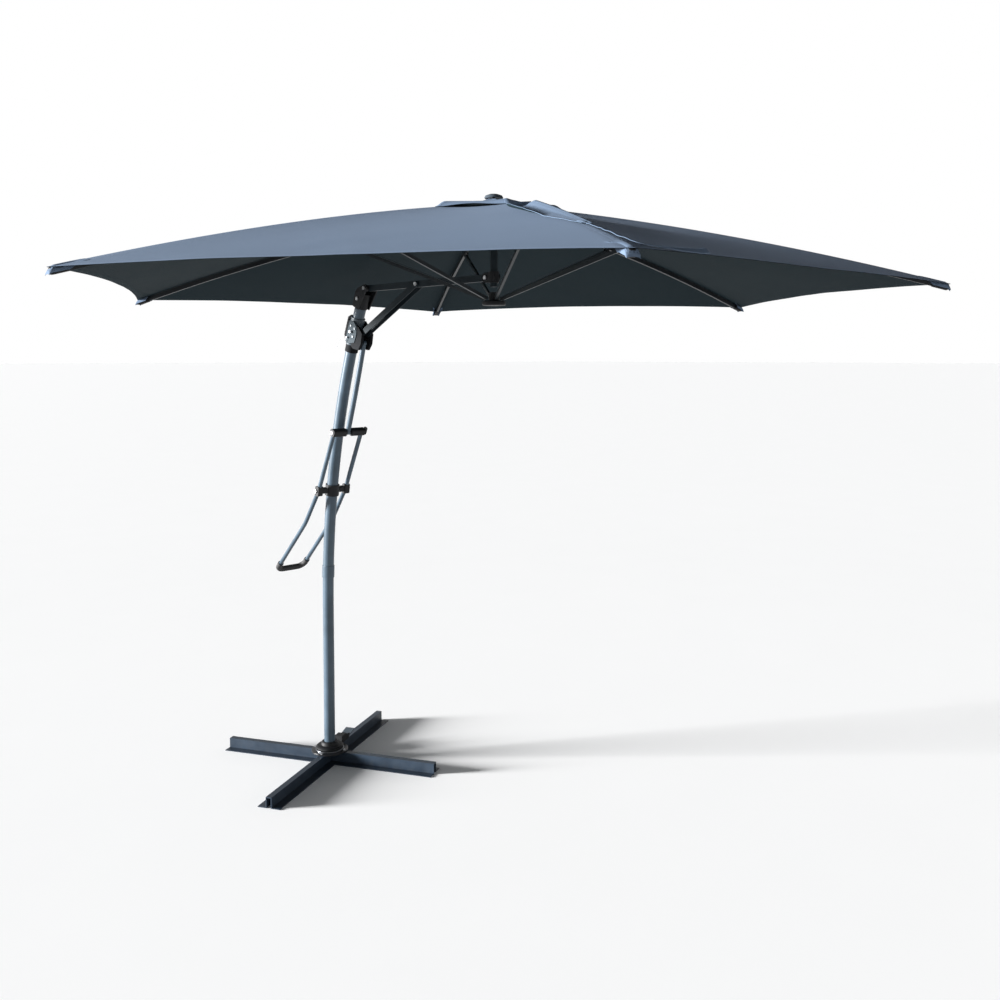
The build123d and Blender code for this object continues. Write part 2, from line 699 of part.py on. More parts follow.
# ---------------------------------------------------------------- ribs and stretchers
joint_z = rib_z(joint_r) - joint_drop
reach = hypot(joint_r - pivot_r, joint_z - runner_z)
lean = atan2(joint_z - runner_z, joint_r - pivot_r)
for number, turn in enumerate(rib_turns, start=1):
    flat = radial_plane(turn)
    a = radians(turn)
    # Rib: slightly bowed square tube with an eye on the crown's pin and lugs for its stretcher.
    with BuildPart() as rib:
        with BuildLine(flat) as rib_line:
            half_r = (pivot_r + tip_r) / 2
            ThreePointArc((pivot_r, crown_z), (half_r, rib_z(half_r)), (tip_r, tip_z))
        slope = rib_line.line % 0
        start = rib_line.line @ 0
        with BuildSketch(Plane(origin=start, x_dir=(sin(a), -cos(a), 0), z_dir=slope)):
            Rectangle(rib_wide, rib_high)
            Rectangle(rib_wide - 2.4, rib_high - 2.4, mode=Mode.SUBTRACT)
        sweep()
        with BuildSketch(flat):
            with Locations((pivot_r, crown_z)):
                Circle(rib_high / 2)
        extrude(amount=rib_wide / 2, both=True)
        with BuildSketch(flat):
            with Locations((pivot_r, crown_z)):
                Circle(2.56)
        extrude(amount=20, both=True, mode=Mode.SUBTRACT)
        for side in (-1, 1):
            with BuildSketch(radial_plane(turn, side * 6.4)):
                with Locations((joint_r, joint_z)):
                    Circle(8)
                with Locations((joint_r, joint_z + 9)):
                    Rectangle(16, 18)
            extrude(amount=1.4, both=True)
        with BuildSketch(flat):
            with Locations((joint_r, joint_z)):
                Circle(2.5)
        extrude(amount=5.1, both=True)
    rib.part.label = f"rib_{number}"
    export_step(rib.part, f"parts/rib_{number}.step")

    # Stretcher: flat bar from the rib's lugs down to the runner.
    foot_plane = Plane(
        origin=(hub_x + pivot_r * cos(a), pivot_r * sin(a), runner_z),
        x_dir=(cos(lean) * cos(a), cos(lean) * sin(a), sin(lean)),
        z_dir=(sin(a), -cos(a), 0),
    )
    with BuildPart() as stretcher:
        with BuildSketch(foot_plane):
            with Locations((reach / 2, 0)):
                SlotCenterToCenter(reach, stretch_high)
        extrude(amount=stretch_wide / 2, both=True)
        with BuildSketch(foot_plane):
            with Locations((reach / 2, 0)):
                Rectangle(reach - 50, stretch_high - 2.8)
        extrude(amount=stretch_wide / 2 - 1.4, both=True, mode=Mode.SUBTRACT)
        with BuildSketch(foot_plane):
            with Locations((reach, 0)):
                Circle(2.56)
        extrude(amount=20, both=True, mode=Mode.SUBTRACT)
    stretcher.part.label = f"stretcher_{number}"
    export_step(stretcher.part, f"parts/stretcher_{number}.step")

# ---------------------------------------------------------------- canopy fabric
# Each gore lies half on the panel at either side of its rib, with a small vent layer over the top.
# A panel is flat across, and its rim edge curves in between the rib tips.
half_edge = rim_r * sin(radians(30))
rim_arc = (half_edge ** 2 + rim_sag ** 2) / (2 * rim_sag)


def rim_depth(t, sag=rim_sag, arc=rim_arc):
    """How far the rim stands in from the straight edge, at t from the panel's middle."""
    return sag - (arc - sqrt(arc ** 2 - t ** 2))


def half_gore(turn, side, reach_r, lift, stations, depth):
    """One flat-faceted half of a gore, from its rib to the middle of the next panel."""
    middle = turn + 30 * side
    c = cos(radians(30))
    upper = [(r * c, fabric_z(r) + lift + fabric_t) for r in stations]
    lower = [(r * c, fabric_z(r) + lift) for r in reversed(stations)]
    with BuildPart() as half:
        with BuildSketch(radial_plane(middle)):
            with BuildLine():
                Polyline(*upper, *lower, close=True)
            make_face()
        extrude(amount=reach_r, both=True)
        m, e = radians(middle), reach_r * sin(radians(30))
        along, across = (cos(m), sin(m)), (sin(m) * side, -cos(m) * side)

        def spot(u, t):
            return hub_x + u * along[0] + t * across[0], u * along[1] + t * across[1]

        with BuildSketch(Plane.XY.offset(1900)):
            with BuildLine():
                start, corner = spot(9 * c, 5), spot(reach_r * c - 0.3, e - 0.5)
                inner_mid, outer_mid = spot(9 * c, 0.4), spot(reach_r * c - depth, 0.4)
                Line(inner_mid, start)
                Line(start, corner)
                if depth:
                    ThreePointArc(corner, spot(reach_r * c - rim_depth(e / 2), e / 2), outer_mid)
                else:
                    Line(corner, outer_mid)
                Line(outer_mid, inner_mid)
            make_face()
        extrude(amount=600, mode=Mode.INTERSECT)
    return half.part


for number, turn in enumerate(rib_turns, start=1):
    pieces = []
    for side in (-1, 1):
        pieces.append(half_gore(turn, side, rim_r, 0, [0, 380, 760, 1140, rim_r + 12], rim_sag))
        pieces.append(half_gore(turn, side, vent_r, vent_gap, [0, vent_r + 12], 0))
    with BuildPart() as gore:
        for piece in pieces:
            add(piece)
    gore.part.label = f"gore_{number}"
    export_step(gore.part, f"parts/gore_{number}.step")
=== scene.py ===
from math import atan2, cos, degrees, hypot, pi, radians, sin, sqrt

import bpy
from mathutils import Matrix, Vector, noise


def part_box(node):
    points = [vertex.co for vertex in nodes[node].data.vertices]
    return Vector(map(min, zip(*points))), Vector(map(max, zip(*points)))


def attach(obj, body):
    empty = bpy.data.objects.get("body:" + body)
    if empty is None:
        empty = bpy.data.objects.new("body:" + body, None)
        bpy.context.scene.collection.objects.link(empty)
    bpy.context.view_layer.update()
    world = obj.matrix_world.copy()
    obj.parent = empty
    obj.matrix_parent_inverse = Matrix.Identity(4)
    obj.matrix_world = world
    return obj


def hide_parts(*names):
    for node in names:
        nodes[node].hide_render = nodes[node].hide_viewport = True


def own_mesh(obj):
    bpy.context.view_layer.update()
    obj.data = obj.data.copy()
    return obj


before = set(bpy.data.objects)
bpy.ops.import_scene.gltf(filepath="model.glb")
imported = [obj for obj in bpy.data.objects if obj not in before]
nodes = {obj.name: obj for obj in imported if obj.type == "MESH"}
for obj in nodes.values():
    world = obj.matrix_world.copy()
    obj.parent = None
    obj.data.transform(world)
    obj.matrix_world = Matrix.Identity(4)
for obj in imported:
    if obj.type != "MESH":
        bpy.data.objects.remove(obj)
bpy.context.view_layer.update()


# Cross base: two folded steel bars, one whole and one in two halves welded to it, with a tie plate in
# the middle.  Powder coated in slate grey, a little rubbed on its folds and dusty near the ground.
class Wire:
    """A shader socket that adds Math nodes when it is used in an expression."""

    def __init__(self, finish, socket):
        self.finish, self.socket = finish, socket

    def maths(self, operation, first, second):
        return self.finish.node("Math", {"operation": operation}, {0: first, 1: second})

    def __add__(self, other):
        return self.maths("ADD", self, other)

    def __sub__(self, other):
        return self.maths("SUBTRACT", self, other)

    def __rsub__(self, other):
        return self.maths("SUBTRACT", other, self)

    def __mul__(self, other):
        return self.maths("MULTIPLY", self, other)

    def __gt__(self, other):
        return self.maths("GREATER_THAN", self, other)

    __radd__ = __add__
    __rmul__ = __mul__


class Finish:
    """A surface finish: a material whose nodes are made one by one."""

    def __init__(self, name):
        self.material = bpy.data.materials.new(name)
        self.material.use_nodes = True
        self.tree = self.material.node_tree
        self.tree.nodes.clear()

    def node(self, kind, settings=None, values=None, out=0):
        """A node with its settings and the values or links of its sockets, as one of its outputs."""
        made = self.tree.nodes.new("ShaderNode" + kind)
        for key, value in (settings or {}).items():
            setattr(made, key, value)
        for key, value in (values or {}).items():
            if isinstance(value, Wire):
                self.tree.links.new(value.socket, made.inputs[key])
            elif hasattr(value, "__len__") and len(value) == 3 and made.inputs[key].type == "RGBA":
                made.inputs[key].default_value = (*value, 1)
            else:
                made.inputs[key].default_value = value
        return Wire(self, made.outputs[out])

    def place(self, stretch=(1, 1, 1), source="Object"):
        """Coordinates of the piece in metres, stretched along its axes."""
        where = self.node("TexCoord", out=source)
        return self.node("Mapping", {}, {"Vector": where, "Scale": stretch})

    def grain(self, size, detail=3.0, stretch=(1, 1, 1), source="Object"):
        """Cloudy noise from 0 to 1 with features of about that size in metres."""
        return self.node("TexNoise", {}, {"Vector": self.place(stretch, source), "Scale": 1 / size,
                                          "Detail": detail, "Roughness": 0.55})

    def band(self, value, low, high):
        """0 below low, 1 above high."""
        return self.node("MapRange", {"clamp": True}, {"Value": value, "From Min": low, "From Max": high})

    def sine(self, value):
        return self.node("Math", {"operation": "SINE"}, {0: value})

    def blend(self, share, first, second):
        """The first colour where share is 0, the second where it is 1."""
        return self.node("Mix", {"data_type": "RGBA"}, {0: share, 6: first, 7: second}, out=2)

    def edges(self, radius=0.002):
        """1 on the rounded-over edges of the metal, 0 on its faces."""
        rounded = self.node("Bevel", {"samples": 6}, {"Radius": radius})
        flat = self.node("NewGeometry", out="Normal")
        likeness = self.node("VectorMath", {"operation": "DOT_PRODUCT"}, {0: rounded, 1: flat}, out=1)
        return self.band(1 - likeness, 0.02, 0.2)

    def bump(self, height, depth, strength=1.0):
        return self.node("Bump", {}, {"Height": height, "Distance": depth, "Strength": strength})

    def surface(self, **sockets):
        names = {key.replace("_", " "): value for key, value in sockets.items()}
        shader = self.node("BsdfPrincipled", {}, names)
        end = self.tree.nodes.new("ShaderNodeOutputMaterial")
        self.tree.links.new(shader.socket, end.inputs["Surface"])
        return self.material


def powder_coat(name, colour, rough=0.4, dust=0.0, shine=0.36):
    """Baked powder coat: orange-peel bump, faint clouding, rubbed edges."""
    paint = Finish(name)
    cloud = paint.grain(0.09, 4)
    fine = paint.grain(0.0011, 2)
    scuff = paint.grain(0.02, 6, (1, 1, 6))
    edge = paint.edges()
    lighter = tuple(min(1, c * 1.22 + 0.004) for c in colour)
    darker = tuple(c * 0.84 for c in colour)
    shade = paint.blend(paint.band(cloud, 0.3, 0.7), darker, lighter)
    rub = edge * paint.band(scuff, 0.35, 0.6)
    shade = paint.blend(rub * 0.5, shade, tuple(c * 2.4 + 0.012 for c in colour))
    if dust:
        height = paint.node("SeparateXYZ", {}, {0: paint.place()}, out=2)
        low = (1 - paint.band(height, 0.0, 0.05)) * paint.band(paint.grain(0.03, 5), 0.35, 0.8)
        shade = paint.blend(low * dust, shade, (0.19, 0.18, 0.165))
    return paint.surface(
        Base_Color=shade,
        Roughness=rough - 0.06 + cloud * 0.10 + paint.band(scuff, 0.6, 0.8) * 0.08,
        Specular_IOR_Level=shine,
        Normal=paint.bump(fine + scuff * 0.3, 0.00012, 0.5),
    )


def paint_nodes(material, *names):
    for name in names:
        slots = nodes[name].data.materials
        slots.clear()
        slots.append(material)


base_paint = powder_coat("base_powder_coat", (0.013, 0.024, 0.040), 0.42, dust=0.10, shine=0.3)
paint_nodes(base_paint, "base_bar_long", "base_bar_left", "base_bar_right", "tie_plate")


# Seat of the mast: a pressed disc in black enamel, a bright bearing ring and a moulded collar that
# turns with the tube.  Four zinc-plated bolts hold the disc down on the bars.
def moulded(name, colour=(0.0055, 0.006, 0.007), rough=0.52, pebble=0.0009, shine=0.22):
    """Moulded nylon: fine spark-eroded grain, faint clouding, every rounded edge a shade paler."""
    nylon = Finish(name)
    cells = nylon.node("TexVoronoi", {}, {"Vector": nylon.place(), "Scale": 1 / pebble})
    cloud = nylon.grain(0.03, 4)
    edge = nylon.edges(0.0015)
    shade = nylon.blend(nylon.band(cloud, 0.3, 0.75), colour, tuple(c * 1.7 for c in colour))
    shade = nylon.blend(edge * 0.5, shade, tuple(c * 3 + 0.006 for c in colour))
    return nylon.surface(
        Base_Color=shade,
        Roughness=rough - 0.05 + cloud * 0.14,
        Specular_IOR_Level=shine,
        Normal=nylon.bump(cells, 0.0002, 0.35),
    )


def plated(name, colour=(0.60, 0.61, 0.63), rough=0.26):
    """Zinc-plated steel: turned rings and dull, darker spots at random."""
    zinc = Finish(name)
    spots = zinc.grain(0.004, 5)
    rings = zinc.grain(0.0007, 2, (1, 1, 5))
    shade = zinc.blend(zinc.band(spots, 0.4, 0.75), colour, tuple(c * 0.62 for c in colour))
    return zinc.surface(
        Base_Color=shade,
        Metallic=1.0,
        Roughness=rough + spots * 0.16,
        Normal=zinc.bump(rings, 0.00008, 0.4),
    )


black_enamel = powder_coat("black_enamel", (0.005, 0.0055, 0.007), 0.3)
black_nylon = moulded("black_nylon")
zinc_plate = plated("zinc_plate")
paint_nodes(black_enamel, "seat_disc")
paint_nodes(black_nylon, "seat_collar", "lock_housing")
paint_nodes(plated("bearing_steel", (0.22, 0.23, 0.25), 0.22), "bearing_ring")
paint_nodes(zinc_plate, "seat_bolts")
paint_nodes(powder_coat("pedal_coat", (0.06, 0.075, 0.09), 0.45), "lock_pedal")

# Mast, arm, strut and push rod: drawn steel tube, powder coated in slate blue-grey, with faint
# clouding in the paint.  Their joints are moulded nylon with bright bolts through them.
frame_paint = powder_coat("frame_powder_coat", (0.042, 0.066, 0.090), 0.34)
paint_nodes(frame_paint, "mast_lower", "mast_upper", "mast_sleeve", "handle_tube", "push_rod")
arm_paint = powder_coat("arm_powder_coat", (0.010, 0.016, 0.020), 0.58, shine=0.13)
paint_nodes(arm_paint, "arm", "strut", "hub_post")
paint_nodes(black_nylon, "mast_head", "arm_bushes", "fulcrum_clamp", "handle_lugs", "crank_blocks")
bright_bolt = plated("bright_bolt", (0.86, 0.87, 0.88), 0.3)
paint_nodes(bright_bolt, "head_bolts", "fulcrum_pins", "crank_bolts", "strut_bolt", "hub_bolt")

# Grip: a sleeve of foam rubber, slid over the bend of the lever and held there by its own tightness.
# Mottled black, with the cells of the foam showing on its skin.
foam = Finish("grip_foam")
cells = foam.node("TexVoronoi", {}, {"Vector": foam.place(), "Scale": 700})
mottle = foam.grain(0.012, 5)
foam_material = foam.surface(
    Base_Color=foam.blend(foam.band(mottle, 0.3, 0.7), (0.010, 0.010, 0.011), (0.021, 0.021, 0.022)),
    Roughness=0.62 + mottle * 0.25,
    Normal=foam.bump(cells + mottle * 0.6, 0.0005, 0.6),
)
paint_nodes(foam_material, "handle_grip")

# Slider on the mast: a painted steel sleeve between two side plates, with a moulded fork, skirt and hand
# grip bolted between them and a plated lock pin.
slider_paint = powder_coat("slider_powder_coat", (0.040, 0.056, 0.070), 0.36)
paint_nodes(slider_paint, "slider_sleeve")
paint_nodes(powder_coat("plate_powder_coat", (0.020, 0.030, 0.037), 0.62, shine=0.12), "slider_plates")
paint_nodes(moulded("slider_nylon", rough=0.7, shine=0.06), "slider_skirt", "slider_fork", "slider_grip")
paint_nodes(plated("dull_bolt", (0.15, 0.16, 0.17), 0.46), "slider_bolts")
paint_nodes(zinc_plate, "lock_pin")

# Lanyard of the lock pin: thin stranded wire in a clear sleeve.  It leaves the near plate, loops back
# round the sleeve and hangs free, with a bare end.
bend_turn, bend_radius, bend_start = radians(22.34), 3.2, 0.7
plate_out = 39.5
route = [(2, -44), (-1, -57), (-10, -67), (-23, -71), (-36, -68), (-46, -70), (-52, -81), (-53, -94),
         (-50, -106)]
axis_x = bend_radius - bend_radius * cos(bend_turn)
axis_z = bend_start + bend_radius * sin(bend_turn)


def beside_slider(ahead, up, out):
    """Millimetres ahead of the mast's axis, up along it and out to its near side."""
    return Vector((
        axis_x + (ahead * cos(bend_turn) + up * sin(bend_turn)) / 1000,
        -out / 1000,
        axis_z + (-ahead * sin(bend_turn) + up * cos(bend_turn)) / 1000,
    ))


wire = Finish("lanyard_wire")
strands = wire.node("TexWave", {"wave_type": "BANDS"}, {"Vector": wire.place((1, 1, 1)), "Scale": 420.0})
wire_material = wire.surface(
    Base_Color=wire.blend(strands, (0.42, 0.43, 0.45), (0.66, 0.67, 0.69)),
    Metallic=0.7,
    Roughness=0.28 + strands * 0.1,
    Normal=wire.bump(strands, 0.0002, 0.5),
)
curve = bpy.data.curves.new("lanyard_line", "CURVE")
curve.dimensions = "3D"
line = curve.splines.new("NURBS")
line.points.add(len(route) - 1)
for point, (ahead, up) in zip(line.points, route):
    point.co = (*beside_slider(ahead, up, plate_out), 1)
line.order_u = 3
line.use_endpoint_u = True
curve.bevel_depth = 0.0012
curve.bevel_resolution = 3
curve.materials.append(wire_material)
lanyard = bpy.data.objects.new("lanyard_line", curve)
bpy.context.collection.objects.link(lanyard)
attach(lanyard, "slider")
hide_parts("lanyard")

# Hub: moulded clevis, crown and cap on a painted post, held by a bolt, and the moulded runner below
# them that the stretchers are pinned to.
paint_nodes(black_nylon, "hub_clevis", "crown", "runner")
paint_nodes(zinc_plate, "crown_pins")
paint_nodes(moulded("cap_nylon", (0.028, 0.036, 0.044), 0.45), "top_cap")

# Ribs and stretchers: square steel tube, powder coated nearly black, with a moulded end on each rib
# that the pocket of the fabric slips over.
rib_turns = [30, 90, 150, 210, 270, 330]
rib_paint = powder_coat("rib_powder_coat", (0.008, 0.010, 0.012), 0.42)
stretch_paint = powder_coat("stretcher_powder_coat", (0.011, 0.015, 0.018), 0.4)
paint_nodes(rib_paint, *[f"rib_{n}" for n in range(1, 7)])
paint_nodes(stretch_paint, *[f"stretcher_{n}" for n in range(1, 7)])
hub_lo, hub_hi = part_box("hub_post")
hub_x = (hub_lo[0] + hub_hi[0]) / 2
crown_z = (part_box("crown_pins")[0][2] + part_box("crown_pins")[1][2]) / 2
tip_r, tip_z = 1.492, 2.012
pivot_r, rib_bow, end_r = 0.038, 0.028, 1.444


def outward(turn):
    """Level direction of a rib, from its turn in degrees."""
    return Vector((cos(radians(turn)), sin(radians(turn)), 0))


def rib_line(r):
    """Height of the ribs' bowed middle line at a distance from the hub's axis."""
    k = (r - pivot_r) / (tip_r - pivot_r)
    return crown_z + (tip_z - crown_z) * k + rib_bow * (1 - (2 * k - 1) ** 2)


def mesh_piece(name, points, faces, material, body):
    """A mesh object that rides on a body and takes its finish from a slot."""
    mesh = bpy.data.meshes.new(name)
    mesh.from_pydata([tuple(p) for p in points], [], faces)
    mesh.polygons.foreach_set("use_smooth", [True] * len(mesh.polygons))
    mesh.materials.append(material)
    made = bpy.data.objects.new(name, mesh)
    bpy.context.collection.objects.link(made)
    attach(made, body)
    return made


for number, turn in enumerate(rib_turns, start=1):
    d = outward(turn)
    slope = (d * 0.1 + Vector((0, 0, rib_line(1.48) - rib_line(1.38)))).normalized()
    across = Vector((-d.y, d.x, 0))
    upright = slope.cross(across) * -1
    points, faces = [], []
    # distance along the rib in metres, then half width and half height in millimetres
    sections = [(0.000, 6.2, 8.8), (0.004, 7.6, 10), (0.030, 7.8, 10.2), (0.040, 9.2, 10.4),
                (0.046, 9.6, 10.2), (0.050, 8.4, 8.6), (0.0515, 5.0, 5.0)]
    start = Vector((hub_x, 0, 0)) + d * end_r + Vector((0, 0, rib_line(end_r)))
    corner_steps = 24
    for along, half_w, half_h in sections:
        for k in range(corner_steps):
            a = 2 * pi * k / corner_steps
            c, s = cos(a), sin(a)
            reach = 1 / (abs(c) ** 5 + abs(s) ** 5) ** 0.2
            points.append(start + slope * along + across * (c * reach * half_w / 1000)
                          + upright * (s * reach * half_h / 1000))
    for row in range(len(sections) - 1):
        for k in range(corner_steps):
            a, b = row * corner_steps + k, row * corner_steps + (k + 1) % corner_steps
            faces.append((a, b, b + corner_steps, a + corner_steps))
    faces.append(tuple(range((len(sections) - 1) * corner_steps, len(sections) * corner_steps)))
    mesh_piece(f"rib_end_{number}", points, faces, black_nylon, f"rib_{number}")

# Canopy: six panels of woven polyester sewn together over the ribs, slate blue-grey on top; the back face is
# painted far darker, as painted shade for the underside. Each gore here is the cloth round one rib, out to
# the middle of the panel at either side, so it folds with its rib.
rim_r, rim_sag = 1.5, 0.045
cloth_lift, folded = 0.0128, 0.055


def rim_gap_at(t, sag, arc):
    """How far the rim is drawn in at t from a panel's middle."""
    return sag - (arc - sqrt(max(arc**2 - t**2, 0)))


def roof(x, y):
    """Height of the cloth over a point of the floor: tight over the ribs, a little lower between them."""
    dx, dy = x - hub_x, y
    r = hypot(dx, dy)
    turn = degrees(atan2(dy, dx))
    off = (turn - 30) % 60
    off = off if off <= 30 else off - 60
    inner = radians(30 - abs(off))
    s = r * cos(inner) / cos(radians(30))
    w = 1 - r * sin(inner) / (s / 2) if s > 1e-6 else 0
    w = min(max(w, 0), 1)
    k = min(max((s - pivot_r) / (tip_r - pivot_r), 0), 1)
    slack = 0.5 * rib_bow * (1 - (2 * k - 1) ** 2) * w * (2 - w)
    ripple = noise.noise(Vector((x * 2.3, y * 2.3, 4.0))) * 0.004 * w * k
    pull = noise.noise(Vector((x * 9, y * 9, 1.5))) * 0.0012 * w * k
    return rib_line(s) + cloth_lift - slack + ripple + pull


def cloth(name, light, dark, sheen):
    """Woven polyester: plain weave, slubs along the weft, a hem with its stitching, pressed seams."""
    weave = Finish(name)
    flat = weave.place((1, 1, 1), "UV")
    u = weave.node("SeparateXYZ", {}, {0: flat}, out=0)
    v = weave.node("SeparateXYZ", {}, {0: flat}, out=1)
    warp = weave.sine(u * (2 * pi / 0.0022))
    weft = weave.sine(v * (2 * pi / 0.0019))
    threads = (warp * weft) * 0.5 + 0.5
    slub = weave.grain(0.004, 3, (0.06, 1, 1), "UV")
    cloud = weave.grain(0.35, 3)
    rim = weave.node("Attribute", {"attribute_name": "rim_gap"}, out="Fac")
    seam = weave.node("Attribute", {"attribute_name": "seam_gap"}, out="Fac")
    hem = 1 - weave.band(rim, 0.021, 0.0225)
    fold = 1 - weave.band(seam, 0.0095, 0.0105)
    dash = weave.sine(u * (2 * pi / 0.006)) > -0.2
    dash_long = weave.sine(v * (2 * pi / 0.006)) > -0.2
    stitch = weave.band(rim, 0.0175, 0.0182) * (1 - weave.band(rim, 0.0194, 0.0201)) * dash
    stitch_long = weave.band(seam, 0.0072, 0.0078) * (1 - weave.band(seam, 0.0088, 0.0094)) * dash_long
    thread = stitch + stitch_long
    tone = weave.band(slub * 0.6 + cloud * 0.4, 0.32, 0.68)
    shade = weave.blend(tone, dark, light)
    shade = weave.blend((hem + fold) * 0.22, shade, tuple(c * 1.5 for c in light))
    shade = weave.blend(threads * 0.14, shade, tuple(c * 0.5 for c in dark))
    shade = weave.blend(thread * 0.6, shade, tuple(c * 0.45 for c in dark))
    height = threads * 0.25 + slub * 0.5 + (hem + fold) * 2.2 - thread * 2.0
    return weave.surface(
        Base_Color=shade,
        Roughness=0.74 + slub * 0.18,
        Sheen_Weight=sheen,
        Sheen_Roughness=0.38,
        Sheen_Tint=(0.62, 0.76, 1.0, 1),
        Specular_IOR_Level=0.1,
        Normal=weave.bump(height, 0.0006, 0.55),
    )


top_cloth = cloth("canopy_cloth", (0.088, 0.122, 0.176), (0.076, 0.106, 0.152), 0.03)
# Back of the cloth: the same weave, painted much darker than the top as painted shade for the canopy's
# underside.
painted_shade_back_cloth = cloth("canopy_cloth_back_painted_shade", (0.0065, 0.0165, 0.0215), (0.004, 0.011, 0.015), 0.0)


def grid(rows, columns, spot_at):
    """Four grids from spot_at(row, column): points, places in the weave, gaps to the hem and to the seam."""
    grids = [], [], [], []
    for j in rows:
        for one, values in zip(grids, zip(*[spot_at(j, k) for k in columns])):
            one.append(values)
    return grids


def cloth_piece(name, sheet, body, under=painted_shade_back_cloth, thick=0.0009, rim=False):
    """A sheet from its four grids, its weave laid along it, and a back face, by default in the painted-shade
    cloth.
    """
    rows, uvs, gaps, seams = sheet
    count = len(rows[0])
    points = [p for row in rows for p in row]
    faces = [(j * count + k, j * count + k + 1, (j + 1) * count + k + 1, (j + 1) * count + k)
             for j in range(len(rows) - 1) for k in range(count - 1)]
    middle = len(rows) // 2
    if (rows[middle][1] - rows[middle][0]).cross(rows[middle + 1][0] - rows[middle][0]).z < 0:
        faces = [tuple(reversed(face)) for face in faces]
    made = mesh_piece(name, points, faces, top_cloth, body)
    mesh = made.data
    mesh.materials.append(under)
    layer = mesh.uv_layers.new(name="weave")
    flat_uv = [c for row in uvs for c in row]
    for loop in mesh.loops:
        layer.data[loop.index].uv = flat_uv[loop.vertex_index]
    for label, values in (("rim_gap", gaps), ("seam_gap", seams)):
        flat_values = [g for row in values for g in row]
        mesh.attributes.new(label, "FLOAT", "POINT").data.foreach_set("value", flat_values)
    skin = made.modifiers.new("thickness", "SOLIDIFY")
    skin.thickness, skin.offset, skin.material_offset, skin.use_rim = thick, 0, 1, rim
    return made


def area_of(sheet):
    """Area in square metres of the sheet's one side."""
    total = 0
    for one, two in zip(sheet[0], sheet[0][1:]):
        for k in range(len(one) - 1):
            a, b, c, d = one[k], one[k + 1], two[k + 1], two[k]
            total += ((b - a).cross(c - a)).length / 2 + ((c - a).cross(d - a)).length / 2
    return total


def gore_rows(turn, inner_r, outer_r, sag, height, steps, columns):
    """A sheet from the hub to the rim, its rows running from one panel's middle over the rib to the next."""
    arc = ((outer_r / 2) ** 2 + sag**2) / (2 * sag)
    c30 = cos(radians(30))

    def spot_at(j, k):
        w = abs(k) / columns
        side = 1 if k > 0 else -1
        rib, middle = outward(turn), outward(turn + 30 * side)
        depth = rim_gap_at((1 - w) * outer_r / 2, sag, arc)
        limit = outer_r - depth / c30
        s = inner_r + (limit - inner_r) * ((j / steps) ** 0.92)
        flat = (rib * (1 - w) + middle * (w * c30)) * s
        spot = Vector((hub_x + flat.x, flat.y, 0))
        spot.z = height(spot.x, spot.y, s, w)
        weave_place = s * 0.5 * (1 - w) * side, s * c30 + (0.5 * turn / 60)
        return spot, weave_place, (limit - s) * c30, abs(s / 2 * w * side) * c30

    return grid(range(steps + 1), range(-columns, columns + 1), spot_at)


for number, turn in enumerate(rib_turns, start=1):
    sheet = gore_rows(turn, 0.12, rim_r, rim_sag, lambda x, y, s, w: roof(x, y), 64, 20)
    gore = cloth_piece(f"canopy_gore_{number}", sheet, f"rib_{number}")
    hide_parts(f"gore_{number}")
    round(area_of(sheet), 4)
    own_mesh(gore)

# Vent: a small top layer over the opening round the hub, sewn down at the ribs only, so its edges lift
# between them and leave dark mouths for the wind.
vent_r = 0.262


def vent_height(x, y, s, w):
    """Height of the vent's top layer, held under the cap at its middle."""
    share = min(s / vent_r, 1)
    hem = max(share - 0.84, 0) / 0.16
    lift = 0.0175 * (1 - hem * hem * (3 - 2 * hem)) * (0.45 + 0.55 * share) + 0.0014
    peak = 0.020 * max(1 - s / 0.07, 0) ** 2
    pucker = noise.noise(Vector((x * 9, y * 9, 7.0)))
    mouth = 0.008 * max(pucker, 0) * hem * w * (2 - w) + 0.004 * pucker * share * w
    return min(roof(x, y) + lift + peak + mouth, 2.3525 if s < 0.05 else 3)


for number, turn in enumerate(rib_turns, start=1):
    sheet = gore_rows(turn, 0.027, vent_r, 0.018, vent_height, 22, 12)
    vent = cloth_piece(f"vent_layer_{number}", sheet, f"rib_{number}")
    round(area_of(sheet), 5)
    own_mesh(vent)

# Corner pockets: a narrow doubled sleeve of the same cloth, sewn to the corner and slipped over the
# moulded end of each rib; its mouth spreads flat into the corner of the panels.
mouth_r, pocket_long = 1.405, 0.097
pocket_columns, pocket_steps = 12, 26


def pocket_at(j, k):
    """A point of the pocket on the rib of direction d: flat at its mouth, wrapped round the rib beyond it."""
    share, w = j / pocket_steps, k / pocket_columns
    r = mouth_r + pocket_long * share
    wrap = radians(8 + 92 * min(share / 0.45, 1) ** 1.4)
    half = 0.036 - 0.019 * min(share / 0.5, 1) ** 0.7
    pinch = 1 - 0.10 * max(share - 0.9, 0) / 0.1
    bow = half / sin(wrap) if wrap < pi / 2 else half
    reach, fall = bow * sin(w * wrap), bow * (1 - cos(w * wrap))
    over = max(share - 0.82, 0) / 0.18
    run = r if share < 0.82 else mouth_r + pocket_long * 0.82 + 0.014 * sin(over * pi / 2)
    spot = Vector((hub_x, 0, 0)) + d * run + across * reach * pinch
    crown_line = Vector((hub_x, 0, 0)) + d * min(run, 1.498)
    laid = roof(spot.x, spot.y) + 0.0009
    bound = roof(crown_line.x, crown_line.y) + 0.0022 - fall * (1 - 0.8 * over) - 0.021 * over**1.3
    bind = min(share / 0.4, 1)
    bind = bind * bind * (3 - 2 * bind)
    spot.z = laid * (1 - bind) + bound * bind + 0.0008 * sin(40 * w + 9 * share) * (1 - bind)
    hem_gap = min(half * (1 - abs(w)), (1 - share) * pocket_long) + 0.012
    return spot, (w * half * 1.2, r), hem_gap, 0.05


